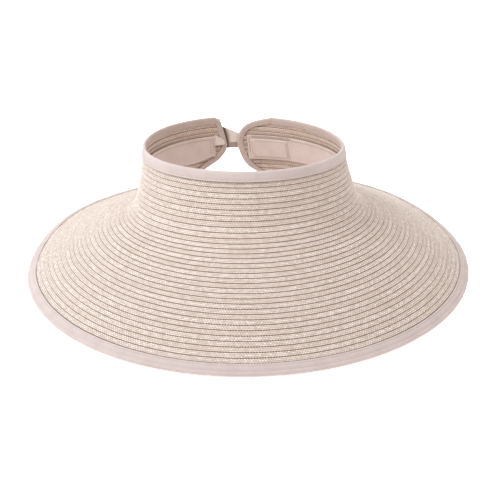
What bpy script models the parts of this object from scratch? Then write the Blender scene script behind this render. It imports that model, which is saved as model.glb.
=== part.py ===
"""Roll-up sun visor: sewn braid rows, bound edges, sweatband and a hook-and-loop strap at the back.

Units are metres, +Z is up and the visor faces -Y. The brim's edge rests on z = 0.
A place on the straw is given by its angle round the head, 0 at the front, 90 degrees at the
wearer's side on +X and 180 at the back, and by its distance down the straw from the rim.
"""

import math

import bmesh
import bpy
import numpy as np

# Rings that carry the straw: half width on X, depth in front of and behind the centre, centre,
# tilt (back down) and lean (right side down).
RIM = {"width": 0.0875, "front": 0.0828, "back": 0.0983, "centre": (-0.0020, 0.0481, 0.1103),
       "tilt": math.radians(-7.7), "lean": math.radians(-1.25)}
ROOT = {"width": 0.1006, "front": 0.0987, "back": 0.0969, "centre": (-0.0013, 0.0321, 0.0579),
        "tilt": math.radians(-8.7), "lean": 0.0}
BRIM_EDGE = {"width": 0.1991, "front": 0.1854, "back": 0.2089, "centre": (0.0, 0.0318, 0.0011),
             "tilt": 0.0, "lean": 0.0}

# Braid rows and bindings, measured down the straw.
ROW_PITCH = 0.0045
VISIBLE_ROWS = 34
CROWN_ROWS = 10
RIM_BINDING_WIDTH = 0.0090
EDGE_BINDING_WIDTH = 0.0096
CROWN_LENGTH = RIM_BINDING_WIDTH + 10.5 * ROW_PITCH
FIRST_ROW = RIM_BINDING_WIDTH
LAST_ROW = RIM_BINDING_WIDTH + VISIBLE_ROWS * ROW_PITCH
STRAW_LENGTH = LAST_ROW + EDGE_BINDING_WIDTH

# Curvature between the rings.
ROOT_ROUNDING = 0.013
CROWN_WAIST = 0.0016
BRIM_BULGE = 0.0014
BRIM_BULGE_FRONT = 0.0018
BRIM_BULGE_SIDES = 0.0016

# Thicknesses, as heights above the middle of the straw. Outside is positive.
GAP = 0.0003
STRAW_HALF = 0.0005
BINDING_INNER = STRAW_HALF + GAP
BINDING_OUTER = BINDING_INNER + 0.0005
BINDING_FOLD = 0.0006
WIRE_RADIUS = 0.0005
WIRE_SIDES = 6

# Where the straw ends at each side of the back: degrees from the back, metres from the rim.
SHARED_BACK_CUT = [(90.0, STRAW_LENGTH), (70.0, 0.1660), (55.0, 0.1565), (40.0, 0.1210), (30.0, 0.0970)]
LEFT_BACK_CUT = SHARED_BACK_CUT + [(23.0, 0.0620), (18.2, 0.0500), (13.4, 0.0444), (8.3, 0.0396),
                                   (4.2, 0.0325), (2.8, 0.0265), (3.4, 0.0200), (5.2, 0.0090), (5.7, 0.0000)]
RIGHT_BACK_CUT = SHARED_BACK_CUT + [(20.0, 0.0680), (13.4, 0.0542), (9.4, 0.0474), (6.7, 0.0406),
                                    (4.8, 0.0322), (3.8, 0.0250), (4.5, 0.0182), (6.9, 0.0120),
                                    (10.8, 0.0071), (17.6, 0.0034), (27.0, 0.0000)]
CUT_STEPS = 3
ROW_END_GAP = 0.0009
RIM_END_GAP = 2.2

# Stations round the head, in degrees, for every piece that follows the rows.
FRONT_REACH = 84.0
FRONT_STEP = 12.0
BACK_STATIONS = 8
BAND_STATIONS = 12

# Sweatband and patch inside the crown.
BAND_TOP = 0.0170
BAND_BOTTOM = 0.0400
BAND_LEFT_END = 190.3
BAND_RIGHT_END = 170.2
BAND_OUTER = -0.0025
BAND_INNER = -0.0033
PATCH_CLEARANCE = 0.0008
PATCH_THICKNESS = 0.0005
PATCH_START = 144.8
PATCH_END = 168.4
PATCH_TOP = 0.0205
PATCH_BOTTOM = 0.0388

# Back closure. Angles past 180 are on the left end.
STRAP_INNER = 0.0030
STRAP_OUTER = 0.0038
STRAP_HINGE = 191.4
STRAP_TIP = 152.0
STRAP_BOTTOM = 0.0292
STRAP_WIDTH = 0.0138
STRAP_ROOT_WIDTH = 0.0212
STRAP_NARROW = 174.8
STRAP_WIDE = 185.5
BASE_END = 204.0
TAPE_START = 154.5
TAPE_END = 168.0
TAPE_MARGIN = 0.0012
LOOP_TAPE_OUTER = 0.0016
HOOK_TAPE_INNER = LOOP_TAPE_OUTER + GAP
HOOK_TAPE_OUTER = STRAP_INNER - GAP
TAIL_START = 184.2
TAIL_END = 189.8
TAIL_TIP_TOP = 0.0224
TAIL_TOP = 0.0158
TAIL_BOTTOM = 0.0254

STRAW_COLOUR = (0.80, 0.66, 0.57)
BINDING_COLOUR = (0.62, 0.50, 0.45)
BAND_COLOUR = (0.68, 0.57, 0.52)
TAPE_COLOUR = (0.72, 0.64, 0.58)
WIRE_COLOUR = (0.80, 0.80, 0.78)


def ring(shape, angle):
    """Points of a tilted oval ring at these angles round the head."""
    depth = np.where(np.cos(angle) > 0.0, shape["front"], shape["back"])
    across = shape["width"] * np.sin(angle)
    reach = -depth * np.cos(angle)
    x, y, z = shape["centre"]
    height = z + reach * math.sin(shape["tilt"]) + across * math.sin(shape["lean"])
    return np.stack([x + across, y + reach * math.cos(shape["tilt"]), height], axis=-1)


def middle(degrees, distance):
    """Middle surface of the straw: crown, rounded root and gently domed brim."""
    degrees, distance = np.broadcast_arrays(np.asarray(degrees, float), np.asarray(distance, float))
    angle = np.radians(degrees)
    rim = ring(RIM, angle)
    root = ring(ROOT, angle)
    edge = ring(BRIM_EDGE, angle)
    brim_length = STRAW_LENGTH - CROWN_LENGTH
    past_root = distance - CROWN_LENGTH
    rounded = (past_root + ROOT_ROUNDING) ** 2 / (4.0 * ROOT_ROUNDING)
    ramp = np.where(past_root < -ROOT_ROUNDING, 0.0, np.where(past_root > ROOT_ROUNDING, past_root, rounded))
    crown_step = (root - rim) / CROWN_LENGTH
    brim_step = (edge - root) / brim_length
    point = rim + crown_step * distance[..., None] + (brim_step - crown_step) * ramp[..., None]
    along_brim = np.maximum(past_root / brim_length, 0.0)
    bulge = BRIM_BULGE + BRIM_BULGE_FRONT * np.cos(angle) - BRIM_BULGE_SIDES * np.cos(2.0 * angle)
    along_crown = np.clip(distance / CROWN_LENGTH, 0.0, 1.0)
    waist = CROWN_WAIST * 4.0 * along_crown * (1.0 - along_crown)
    point[..., 0] -= waist * np.sin(angle)
    point[..., 1] += waist * np.cos(angle)
    point[..., 2] += bulge * 4.0 * along_brim * (1.0 - along_brim)
    return point


def unit(vectors):
    """Vectors scaled to length one."""
    return vectors / np.linalg.norm(vectors, axis=-1, keepdims=True)


def outward(degrees, distance):
    """Outward normal of the straw's middle surface."""
    turn = 0.5
    step = 0.0005
    degrees = np.asarray(degrees, float)
    distance = np.asarray(distance, float)
    round_head = middle(degrees + turn, distance) - middle(degrees - turn, distance)
    down_straw = middle(degrees, distance + step) - middle(degrees, distance - step)
    return unit(np.cross(down_straw, round_head))


def raised(degrees, distance, height):
    """Points at a height above the straw's middle surface."""
    return middle(degrees, distance) + outward(degrees, distance) * height


def smooth_path(controls, steps):
    """Catmull-Rom path through the control points, with this many steps to each span."""
    points = [np.asarray(control, float) for control in controls]
    ends = [2.0 * points[0] - points[1]] + points + [2.0 * points[-1] - points[-2]]
    path = []
    for before, start, finish, after in zip(ends, ends[1:], ends[2:], ends[3:]):
        for step in range(steps):
            t = step / steps
            linear = (finish - before) * t
            square = (2.0 * before - 5.0 * start + 4.0 * finish - after) * t * t
            cube = (3.0 * start - before - 3.0 * finish + after) * t * t * t
            path.append(0.5 * (2.0 * start + linear + square + cube))
    path.append(points[-1])
    return np.array(path)


def cut_angles(controls, side, steps):
    """Angles and distances along one side's back cut. side is 1 for +X and -1 for -X."""
    path = smooth_path(controls, steps)
    return side * (180.0 - path[:, 0]), path[:, 1]


def row_end(controls, side, distance, margin):
    """Angle at which a row stops, this far from the back cut."""
    fine_steps = 24
    cut_degrees, cut_distances = cut_angles(controls, side, fine_steps)
    cut = middle(cut_degrees, cut_distances)
    angles = np.arange(60.0, 180.0, 0.1)
    row = middle(side * angles, np.full_like(angles, distance))
    clearance = np.linalg.norm(row[:, None] - cut[None], axis=-1).min(axis=1)
    too_close = np.nonzero(clearance < margin)[0]
    return side * float(angles[too_close[0]])


def row_stations(distance, margin):
    """Angles round the head from the left end of a row to its right end."""
    left = row_end(LEFT_BACK_CUT, -1.0, distance, margin)
    right = row_end(RIGHT_BACK_CUT, 1.0, distance, margin)
    front = np.arange(-FRONT_REACH, FRONT_REACH + 0.5 * FRONT_STEP, FRONT_STEP)
    left_part = np.linspace(left, -FRONT_REACH, BACK_STATIONS + 1)[:-1]
    right_part = np.linspace(FRONT_REACH, right, BACK_STATIONS + 1)[1:]
    return np.concatenate([left_part, front, right_part])


def remove_everything():
    """Remove all objects, so that the script starts from an empty scene."""
    for found in list(bpy.data.objects):
        bpy.data.objects.remove(found, do_unlink=True)


def material(name, colour, roughness):
    """Principled material of this part's own."""
    made = bpy.data.materials.new(name)
    made.use_nodes = True
    shader = made.node_tree.nodes["Principled BSDF"]
    shader.inputs["Base Color"].default_value = (*colour, 1.0)
    shader.inputs["Roughness"].default_value = roughness
    return made


def loft(name, sections, colour, roughness, origin=(0.0, 0.0, 0.0)):
    """Closed solid through a list of sections with equal numbers of corners."""
    mesh = bpy.data.meshes.new(name)
    shape = bmesh.new()
    shift = np.asarray(origin, float)
    rings = [[shape.verts.new(tuple(corner - shift)) for corner in section] for section in sections]
    corners = len(rings[0])
    for near, far in zip(rings, rings[1:]):
        for index in range(corners):
            follower = (index + 1) % corners
            shape.faces.new((near[index], near[follower], far[follower], far[index]))
    shape.faces.new(rings[0])
    shape.faces.new(list(reversed(rings[-1])))
    bmesh.ops.recalc_face_normals(shape, faces=shape.faces)
    if shape.calc_volume(signed=True) < 0.0:
        bmesh.ops.reverse_faces(shape, faces=shape.faces)
    shape.to_mesh(mesh)
    shape.free()
    made = bpy.data.objects.new(name, mesh)
    made.location = tuple(shift)
    bpy.context.collection.objects.link(made)
    mesh.materials.append(material(name, colour, roughness))
    mesh.shade_smooth()
    mesh.set_sharp_from_angle(angle=math.radians(35.0))
    return made


def ribbon(name, upper, lower, inner, outer, colour, roughness, origin=(0.0, 0.0, 0.0)):
    """Strip between two lines on the straw. Each line is a pair of angles and distances."""
    sides = [
        raised(*upper, outer),
        raised(*lower, outer),
        raised(*lower, inner),
        raised(*upper, inner),
    ]
    sections = [list(corners) for corners in zip(*sides)]
    return loft(name, sections, colour, roughness, origin)


def row(name, top, bottom, margin, inner=-STRAW_HALF, outer=STRAW_HALF, colour=STRAW_COLOUR):
    """One strip that follows the rows from the left back cut to the right one."""
    upper = (row_stations(top, margin), top)
    lower = (row_stations(bottom, margin), bottom)
    return ribbon(name, upper, lower, inner, outer, colour, 0.85)


def braid_rows():
    """The sewn rows of braid that show, ten in the crown and the rest in the brim."""
    margin = EDGE_BINDING_WIDTH + ROW_END_GAP
    for index in range(VISIBLE_ROWS):
        top = FIRST_ROW + index * ROW_PITCH + 0.5 * GAP
        bottom = FIRST_ROW + (index + 1) * ROW_PITCH - 0.5 * GAP
        if index < CROWN_ROWS:
            name = f"crown_braid_row_{index + 1:02d}"
        else:
            name = f"brim_braid_row_{index - CROWN_ROWS + 1:02d}"
        row(name, top, bottom, margin)


def hidden_rows():
    """The top row under the rim binding and the last row under the edge binding."""
    top = BINDING_FOLD + GAP
    row("rim_braid_row", top, FIRST_ROW - 0.5 * GAP, EDGE_BINDING_WIDTH + ROW_END_GAP)
    start = LAST_ROW + 0.5 * GAP
    end = STRAW_LENGTH - BINDING_FOLD - 2.0 * GAP - 2.0 * WIRE_RADIUS
    reach = FRONT_REACH - FRONT_STEP
    angles = np.arange(-reach, reach + 0.5 * FRONT_STEP, FRONT_STEP)
    ribbon("edge_braid_row", (angles, start), (angles, end), -STRAW_HALF, STRAW_HALF, STRAW_COLOUR, 0.85)


def fold_section(width, fold):
    """Corners of a folded tape: distance in from the bound edge and height above the middle."""
    return [
        (0.0, BINDING_OUTER), (width, BINDING_OUTER), (width, BINDING_INNER), (fold, BINDING_INNER),
        (fold, -BINDING_INNER), (width, -BINDING_INNER), (width, -BINDING_OUTER), (0.0, -BINDING_OUTER),
    ]


def rim_binding():
    """Tape folded over the top row, from the left corner to where the right end starts to round."""
    angles = row_stations(0.0, EDGE_BINDING_WIDTH + ROW_END_GAP)
    right_end = 180.0 - RIGHT_BACK_CUT[-1][0] - RIM_END_GAP
    angles[-BACK_STATIONS:] = np.linspace(FRONT_REACH, right_end, BACK_STATIONS + 1)[1:]
    corners = fold_section(FIRST_ROW - GAP, BINDING_FOLD)
    sides = [raised(angles, distance, height) for distance, height in corners]
    sections = [list(points) for points in zip(*sides)]
    return loft("rim_binding", sections, BINDING_COLOUR, 0.8)


def edge_route():
    """Angles and distances along the whole edge, from the left corner round the brim to the right."""
    left_degrees, left_distances = cut_angles(LEFT_BACK_CUT, -1.0, CUT_STEPS)
    right_degrees, right_distances = cut_angles(RIGHT_BACK_CUT, 1.0, CUT_STEPS)
    front = np.arange(-FRONT_REACH, FRONT_REACH + 0.5 * FRONT_STEP, FRONT_STEP)
    degrees = np.concatenate([left_degrees[::-1], front, right_degrees])
    distances = np.concatenate([left_distances[::-1], np.full_like(front, STRAW_LENGTH), right_distances])
    return degrees, distances


def edge_frame(degrees, distances):
    """Points of the edge with the direction into the straw and the outward normal at each.

    The left end is cut off along the rim, so its first section runs along the rim.
    """
    points = middle(degrees, distances)
    normals = outward(degrees, distances)
    along = np.gradient(points, axis=0)
    inwards = unit(np.cross(normals, along))
    inwards[0] = unit(middle(degrees[0] + 1.0, distances[0]) - points[0])
    return points, inwards, normals


def along_edge(name, corners, colour):
    """Solid that follows the whole edge with this section."""
    degrees, distances = edge_route()
    points, inwards, normals = edge_frame(degrees, distances)
    sections = []
    for point, inward, normal in zip(points, inwards, normals):
        sections.append([point + inward * width + normal * height for width, height in corners])
    return loft(name, sections, colour, 0.8)


def edge_binding():
    """Tape folded over the brim's edge and both back ends."""
    return along_edge("edge_binding", fold_section(EDGE_BINDING_WIDTH - GAP, BINDING_FOLD), BINDING_COLOUR)


def brim_wire():
    """Shaping wire inside the fold of the edge binding."""
    centre = BINDING_FOLD + GAP + WIRE_RADIUS
    corners = []
    for index in range(WIRE_SIDES):
        turn = math.tau * (index + 0.5) / WIRE_SIDES
        corners.append((centre + WIRE_RADIUS * math.cos(turn), WIRE_RADIUS * math.sin(turn)))
    return along_edge("brim_wire", corners, WIRE_COLOUR)


def sweatband():
    """Soft band inside the crown, its outer face just clear of the braid."""
    front = np.arange(-FRONT_REACH, FRONT_REACH + 0.5 * FRONT_STEP, FRONT_STEP)
    left_part = np.linspace(BAND_LEFT_END - 360.0, -FRONT_REACH, BAND_STATIONS + 1)[:-1]
    right_part = np.linspace(FRONT_REACH, BAND_RIGHT_END, BAND_STATIONS + 1)[1:]
    angles = np.concatenate([left_part, front, right_part])
    ribbon("sweatband", (angles, BAND_TOP), (angles, BAND_BOTTOM), BAND_INNER, BAND_OUTER, BAND_COLOUR, 0.85)


def flat_piece(name, start, end, top, bottom, inner, outer, colour, steps=4, origin=(0.0, 0.0, 0.0)):
    """Small sewn piece between two angles. top may be a number or one value to each station."""
    angles = np.linspace(start, end, steps + 1)
    return ribbon(name, (angles, top), (angles, bottom), inner, outer, colour, 0.8, origin)


def size_patch():
    """Plain patch sewn to the sweatband at the right of the back."""
    outer = BAND_INNER - PATCH_CLEARANCE
    flat_piece("band_patch", PATCH_START, PATCH_END, PATCH_TOP, PATCH_BOTTOM, outer - PATCH_THICKNESS, outer,
               BAND_COLOUR)


def strap_top(angles):
    """Upper edge of the strap, which widens towards its root on the left end."""
    widening = np.clip((angles - STRAP_NARROW) / (STRAP_WIDE - STRAP_NARROW), 0.0, 1.0)
    return STRAP_BOTTOM - STRAP_WIDTH - (STRAP_ROOT_WIDTH - STRAP_WIDTH) * widening


def hinge_line():
    """Point on the strap's hinge line and its unit direction, pointing up."""
    top = raised(STRAP_HINGE, STRAP_BOTTOM - STRAP_ROOT_WIDTH, STRAP_OUTER)
    bottom = raised(STRAP_HINGE, STRAP_BOTTOM, STRAP_OUTER)
    return 0.5 * (top + bottom), unit(top - bottom)


def closure():
    """Strap sewn to the left end, with hook tape that grips loop tape on the right end."""
    half_gap = math.degrees(0.5 * GAP / RIM["width"])
    pivot = tuple(hinge_line()[0])
    strap_steps = 8
    angles = np.linspace(STRAP_TIP, STRAP_HINGE - half_gap, strap_steps + 1)
    flat_piece("closure_strap", STRAP_TIP, STRAP_HINGE - half_gap, strap_top(angles), STRAP_BOTTOM,
               STRAP_INNER, STRAP_OUTER, BINDING_COLOUR, strap_steps, pivot)
    flat_piece("strap_base", STRAP_HINGE + half_gap, BASE_END, STRAP_BOTTOM - STRAP_ROOT_WIDTH, STRAP_BOTTOM,
               BINDING_OUTER + 3.0 * GAP, STRAP_OUTER, BINDING_COLOUR)
    tape_top = STRAP_BOTTOM - STRAP_WIDTH + TAPE_MARGIN
    tape_bottom = STRAP_BOTTOM - TAPE_MARGIN
    flat_piece("hook_tape", TAPE_START, TAPE_END, tape_top, tape_bottom, HOOK_TAPE_INNER, HOOK_TAPE_OUTER,
               TAPE_COLOUR, origin=pivot)
    flat_piece("loop_tape", TAPE_START, TAPE_END, tape_top, tape_bottom, BINDING_INNER, LOOP_TAPE_OUTER,
               TAPE_COLOUR)


def strap_tail():
    """Small tab of the strap that shows inside the left end."""
    angles = np.linspace(TAIL_START, TAIL_END, 3)
    narrowing = (TAIL_TIP_TOP - TAIL_TOP) * (TAIL_END - angles) / (TAIL_END - TAIL_START)
    ribbon("strap_tail", (angles, TAIL_TOP + narrowing), (angles, TAIL_BOTTOM), BAND_OUTER - PATCH_THICKNESS,
           BAND_OUTER, BINDING_COLOUR, 0.8)


def build():
    """Model every piece of the visor."""
    remove_everything()
    braid_rows()
    hidden_rows()
    rim_binding()
    edge_binding()
    brim_wire()
    sweatband()
    size_patch()
    closure()
    strap_tail()


build()
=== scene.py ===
"""Looks of a straw sun visor: plaited rows, bound edges, sweatband, closure strap and every stitch.

Units are metres. A place on the straw is given by its angle round the head, 0 at the front, 90 degrees at
+X and 180 at the back, and by its distance down the straw from the rim. Heights are measured outwards from
the middle of the straw. The rings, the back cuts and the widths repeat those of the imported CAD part.
"""

import math

import bpy
import numpy as np
from mathutils import Matrix, Vector


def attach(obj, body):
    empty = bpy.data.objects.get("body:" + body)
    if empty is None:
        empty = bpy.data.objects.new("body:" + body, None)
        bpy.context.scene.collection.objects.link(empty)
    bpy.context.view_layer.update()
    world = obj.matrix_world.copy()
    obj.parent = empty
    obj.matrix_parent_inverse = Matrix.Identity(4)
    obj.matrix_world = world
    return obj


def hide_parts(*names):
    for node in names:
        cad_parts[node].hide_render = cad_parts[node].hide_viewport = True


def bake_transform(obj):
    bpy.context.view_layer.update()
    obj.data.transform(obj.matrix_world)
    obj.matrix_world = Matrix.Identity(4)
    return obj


MM = 0.001

# Rings that carry the straw: half width, depth in front and behind, centre, tilt and lean.
RIM = {"width": 0.0875, "front": 0.0828, "back": 0.0983, "centre": (-0.0020, 0.0481, 0.1103),
       "tilt": math.radians(-7.7), "lean": math.radians(-1.25)}
ROOT = {"width": 0.1006, "front": 0.0987, "back": 0.0969, "centre": (-0.0013, 0.0321, 0.0579),
        "tilt": math.radians(-8.7), "lean": 0.0}
BRIM_EDGE = {"width": 0.1991, "front": 0.1854, "back": 0.2089, "centre": (0.0, 0.0318, 0.0011),
             "tilt": 0.0, "lean": 0.0}

# Rows and bindings, measured down the straw.
ROW_PITCH = 0.0045
VISIBLE_ROWS = 34
CROWN_ROWS = 10
FIRST_ROW = 0.0090
EDGE_BINDING_WIDTH = 0.0096
CROWN_LENGTH = FIRST_ROW + 10.5 * ROW_PITCH
LAST_ROW = FIRST_ROW + VISIBLE_ROWS * ROW_PITCH
STRAW_LENGTH = LAST_ROW + EDGE_BINDING_WIDTH
ROOT_ROUNDING = 0.013
CROWN_WAIST = 0.0016
BRIM_BULGE = 0.0014
BRIM_BULGE_FRONT = 0.0018
BRIM_BULGE_SIDES = 0.0016

# Where the straw ends at each side of the back: degrees from the back, metres from the rim.
SHARED_BACK_CUT = [(90.0, STRAW_LENGTH), (70.0, 0.1660), (55.0, 0.1565), (40.0, 0.1210), (30.0, 0.0970)]
LEFT_BACK_CUT = SHARED_BACK_CUT + [(23.0, 0.0620), (18.2, 0.0500), (13.4, 0.0444), (8.3, 0.0396),
                                   (4.2, 0.0325), (2.8, 0.0265), (3.4, 0.0200), (5.2, 0.0090), (5.7, 0.0000)]
RIGHT_BACK_CUT = SHARED_BACK_CUT + [(20.0, 0.0680), (13.4, 0.0542), (9.4, 0.0474), (6.7, 0.0406),
                                    (4.8, 0.0322), (3.8, 0.0250), (4.5, 0.0182), (6.9, 0.0120),
                                    (10.8, 0.0071), (17.6, 0.0034), (27.0, 0.0000)]
LEFT_CORNER = [(5.9, 0.0050), (7.2, 0.0022), (9.4, 0.0006), (12.5, 0.0000)]
BACK = 180.0
PATH_STEPS = 1200

# Plait of one row. PLAIT_ACROSS are the points across it, from its upper edge at -1 to its lower edge at 1.
PLAIT_PERIOD = 0.0022
PLAIT_STEP = 0.00055
PLAIT_ACROSS = np.array([-1.0, -0.88, -0.667, -0.333, 0.0, 0.333, 0.667, 0.88, 1.0])
PLAIT_COLUMNS = 3
PLAIT_SLANT = 0.22
ROW_LAP = 0.00012
ROW_SCALLOP = 0.00012
ROW_BODY = 0.00058
ROW_THINNING = 0.8
ROW_CELL = 0.00045
ROW_LEAN = 0.00030
ROW_END_MARGIN = 0.0032
GOLDEN = 0.618

# Straw colours, each with the share that it takes where it shows most. The last three colours are painted
# shade: in the creases between the cells, in the dotted gaps between the rows and on the inner face inside
# the crown. An EDGE is where the painted shade of a crease or of a row gap starts and where it is full,
# counted from 0 at the middle of a cell or row.
STRAW_DULL = (0.66, 0.55, 0.485)
STRAW_BRIGHT = (1.0, 0.915, 0.86)
STRAW_ROW_TONE = ((0.62, 0.49, 0.41), 0.35)
STRAW_STREAK = ((0.52, 0.40, 0.34), 0.35)
STRAW_CREASE_SHADE = ((0.24, 0.14, 0.09), 0.72)
STRAW_ROW_GAP_SHADE = ((0.17, 0.085, 0.045), 0.92)
STRAW_INSIDE_SHADE = ((0.52, 0.27, 0.13), 0.22)
STRAW_CREASE_SHADE_EDGE = (0.27, 0.47)
STRAW_ROW_GAP_SHADE_EDGE = (0.71, 0.94)
STRAW_RELIEF = 0.00018

# Folded bindings: outline of the tape in millimetres, in from the bound edge and above the middle.
EDGE_TAPE = [(9.3, 0.95), (9.25, 1.22), (8.6, 1.34), (7.8, 1.14), (7.0, 1.34), (5.4, 1.38), (4.2, 1.20),
             (3.2, 0.92), (2.5, 1.20), (1.5, 1.34), (0.55, 1.02), (0.06, 0.5), (0.0, 0.0), (0.06, -0.5),
             (0.55, -1.02), (1.3, -1.32), (2.2, -1.32), (2.9, -1.28), (3.5, -1.16), (4.2, -1.26),
             (4.8, -1.2), (4.85, -0.98)]
RIM_TAPE = [(8.7, 0.95), (8.65, 1.22), (8.0, 1.36), (7.2, 1.20), (6.4, 1.36), (4.5, 1.46), (2.4, 1.46),
            (1.0, 1.22), (0.25, 0.7), (0.0, 0.0), (0.25, -0.7), (1.0, -1.15), (2.4, -1.3), (3.6, -1.28),
            (4.4, -1.14), (5.2, -1.28), (5.75, -1.2), (5.8, -0.98)]
TAPE_THICKNESS = 0.40
TAPE_STEP = 0.0011
EDGE_STITCH_LINE = 7.8 * MM
EDGE_INNER_STITCH_LINE = 3.5 * MM
RIM_STITCH_LINE = 7.2 * MM
RIM_INNER_STITCH_LINE = 4.4 * MM

# Sewing. Stitch heights are above the straw's middle, bow and sink are in radii of the thread.
STITCH_PITCH = 0.0044
STITCH_LENGTH = 0.0026
EDGE_STITCH_HEIGHT = 0.00124
RIM_STITCH_HEIGHT = 0.00130
RIM_INNER_STITCH_HEIGHT = 0.00124
BAND_PITCH = 0.0032
BAND_END_PITCH = 0.0028
PATCH_PITCH = 0.0026
STRAP_PITCH = 0.0034
STRAP_ROOT_PITCH = 0.0028
THREAD_RADIUS = 0.00022
THREAD_SIDES = 6
THREAD_STATIONS = 6
THREAD_BOW = 1.6
THREAD_SINK = 0.4
THREAD_TAPER = 0.35
THREAD_END = 0.06

# Sweatband, patch, strap and tapes: angles in degrees, distances from the rim for TOP and BOTTOM,
# and heights above the straw's middle for OUTER, INNER, LOW and HIGH.
BAND_TOP = 0.0170
BAND_BOTTOM = 0.0400
BAND_LEFT_END = 190.3
BAND_RIGHT_END = 170.2
BAND_OUTER = -0.0020
BAND_INNER = -0.0028
BAND_LEFT_RISE = 0.0042
BAND_RISE_ANGLE = 15.0
BAND_SEWN_TO = 142.0
WHIP_END = 167.0
PATCH_OUTER = -0.0033
PATCH_INNER = -0.0038
PATCH = {"start": 144.8, "end": 168.4, "top": 0.0205, "bottom": 0.0388}
STRAP_TIP = 152.0
STRAP_BASE_END = 204.0
STRAP_HINGE = 191.4
STRAP_BOTTOM = 0.0292
STRAP_WIDTH = 0.0138
STRAP_ROOT_WIDTH = 0.0212
STRAP_NARROW = 174.8
STRAP_WIDE = 185.5
STRAP_THICKNESS = 0.0008
STRAP_LOW = 0.0026
STRAP_HIGH = 0.0034
STRAP_CREASE = 0.0234
TAIL_START = 184.2
TAIL_END = 190.4
TAIL_TOP = 0.0226
TAIL_SLOPE = 0.0070
TAIL_BOTTOM = 0.0255
TAIL_HEIGHT = -0.0024
TAPE_START = 154.5
TAPE_END = 168.0
TAPE_TOP = 0.0166
TAPE_BOTTOM = 0.0280

# Studio: name, place, size in metres, power in watts and colour of each light, then the camera.
LIGHTS = [("key", (-0.96, 0.20, 1.25), 0.5, 16.0, (0.86, 0.95, 1.0)),
          ("top", (0.05, 0.05, 1.55), 0.9, 11.5, (0.90, 0.96, 1.0))]
LIGHT_TARGET = (0.0, 0.0, 0.04)
SURROUND_COLOUR = (1.0, 0.945, 0.895, 1.0)
SURROUND_STRENGTH = 0.70
FLOOR_SIZE = 12.0
FLOOR_HEIGHT = -0.0012
FLOOR_COLOUR = (0.93, 0.93, 0.93, 1.0)
FLOOR_GLOW = 0.60
CAMERA_AZIMUTH = math.radians(8.35)
CAMERA_ELEVATION = math.radians(28.45)
CAMERA_HALF_ANGLE = math.radians(11.5)
CAMERA_DISTANCE = 1.0964
CAMERA_RIGHT = -0.00231
CAMERA_UP = 0.02599
CAMERA_CENTRE = Vector((-0.0011, 0.0005, 0.0))


def ring(shape, angle):
    """Points of a tilted oval ring at these angles round the head."""
    depth = np.where(np.cos(angle) > 0.0, shape["front"], shape["back"])
    across = shape["width"] * np.sin(angle)
    reach = -depth * np.cos(angle)
    x, y, z = shape["centre"]
    height = z + reach * math.sin(shape["tilt"]) + across * math.sin(shape["lean"])
    return np.stack([x + across, y + reach * math.cos(shape["tilt"]), height], axis=-1)


def middle(degrees, distance):
    """Middle surface of the straw: crown, rounded root and gently domed brim."""
    degrees, distance = np.broadcast_arrays(np.asarray(degrees, float), np.asarray(distance, float))
    angle = np.radians(degrees)
    rim = ring(RIM, angle)
    root = ring(ROOT, angle)
    edge = ring(BRIM_EDGE, angle)
    brim_length = STRAW_LENGTH - CROWN_LENGTH
    past_root = distance - CROWN_LENGTH
    rounded = (past_root + ROOT_ROUNDING) ** 2 / (4.0 * ROOT_ROUNDING)
    ramp = np.where(past_root < -ROOT_ROUNDING, 0.0, np.where(past_root > ROOT_ROUNDING, past_root, rounded))
    crown_step = (root - rim) / CROWN_LENGTH
    brim_step = (edge - root) / brim_length
    point = rim + crown_step * distance[..., None] + (brim_step - crown_step) * ramp[..., None]
    along_brim = np.maximum(past_root / brim_length, 0.0)
    bulge = BRIM_BULGE + BRIM_BULGE_FRONT * np.cos(angle) - BRIM_BULGE_SIDES * np.cos(2.0 * angle)
    along_crown = np.clip(distance / CROWN_LENGTH, 0.0, 1.0)
    waist = CROWN_WAIST * 4.0 * along_crown * (1.0 - along_crown)
    point[..., 0] -= waist * np.sin(angle)
    point[..., 1] += waist * np.cos(angle)
    point[..., 2] += bulge * 4.0 * along_brim * (1.0 - along_brim)
    return point


def unit(vectors):
    """Vectors scaled to length one."""
    return vectors / np.linalg.norm(vectors, axis=-1, keepdims=True)


def outward(degrees, distance):
    """Outward normal of the straw's middle surface."""
    turn = 0.5
    step = 0.0005
    degrees = np.asarray(degrees, float)
    distance = np.asarray(distance, float)
    round_head = middle(degrees + turn, distance) - middle(degrees - turn, distance)
    down_straw = middle(degrees, distance + step) - middle(degrees, distance - step)
    return unit(np.cross(down_straw, round_head))


def raised(degrees, distance, height):
    """Points at a height above the straw's middle surface."""
    return middle(degrees, distance) + outward(degrees, distance) * np.asarray(height)[..., None]


def smooth_path(controls, steps):
    """Catmull-Rom path through the control points, with this many steps to each span."""
    points = [np.asarray(control, float) for control in controls]
    ends = [2.0 * points[0] - points[1]] + points + [2.0 * points[-1] - points[-2]]
    path = []
    for before, start, finish, after in zip(ends, ends[1:], ends[2:], ends[3:]):
        for step in range(steps):
            t = step / steps
            linear = (finish - before) * t
            square = (2.0 * before - 5.0 * start + 4.0 * finish - after) * t * t
            cube = (3.0 * start - before - 3.0 * finish + after) * t * t * t
            path.append(0.5 * (2.0 * start + linear + square + cube))
    path.append(points[-1])
    return np.array(path)


def cut_angles(controls, side, steps=24):
    """Angles and distances along one side's back cut. side is 1 for +X and -1 for -X."""
    path = smooth_path(controls, steps)
    return side * (BACK - path[:, 0]), path[:, 1]


def row_end(controls, side, distance, margin):
    """Angle at which a row stops, this far from the back cut."""
    cut_degrees, cut_distances = cut_angles(controls, side)
    cut = middle(cut_degrees, cut_distances)
    first_angle = 60.0
    angle_step = 0.1
    angles = np.arange(first_angle, BACK, angle_step)
    row = middle(side * angles, np.full_like(angles, distance))
    clearance = np.linalg.norm(row[:, None] - cut[None], axis=-1).min(axis=1)
    too_close = np.nonzero(clearance < margin)[0]
    return side * float(angles[too_close[0]])


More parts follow.
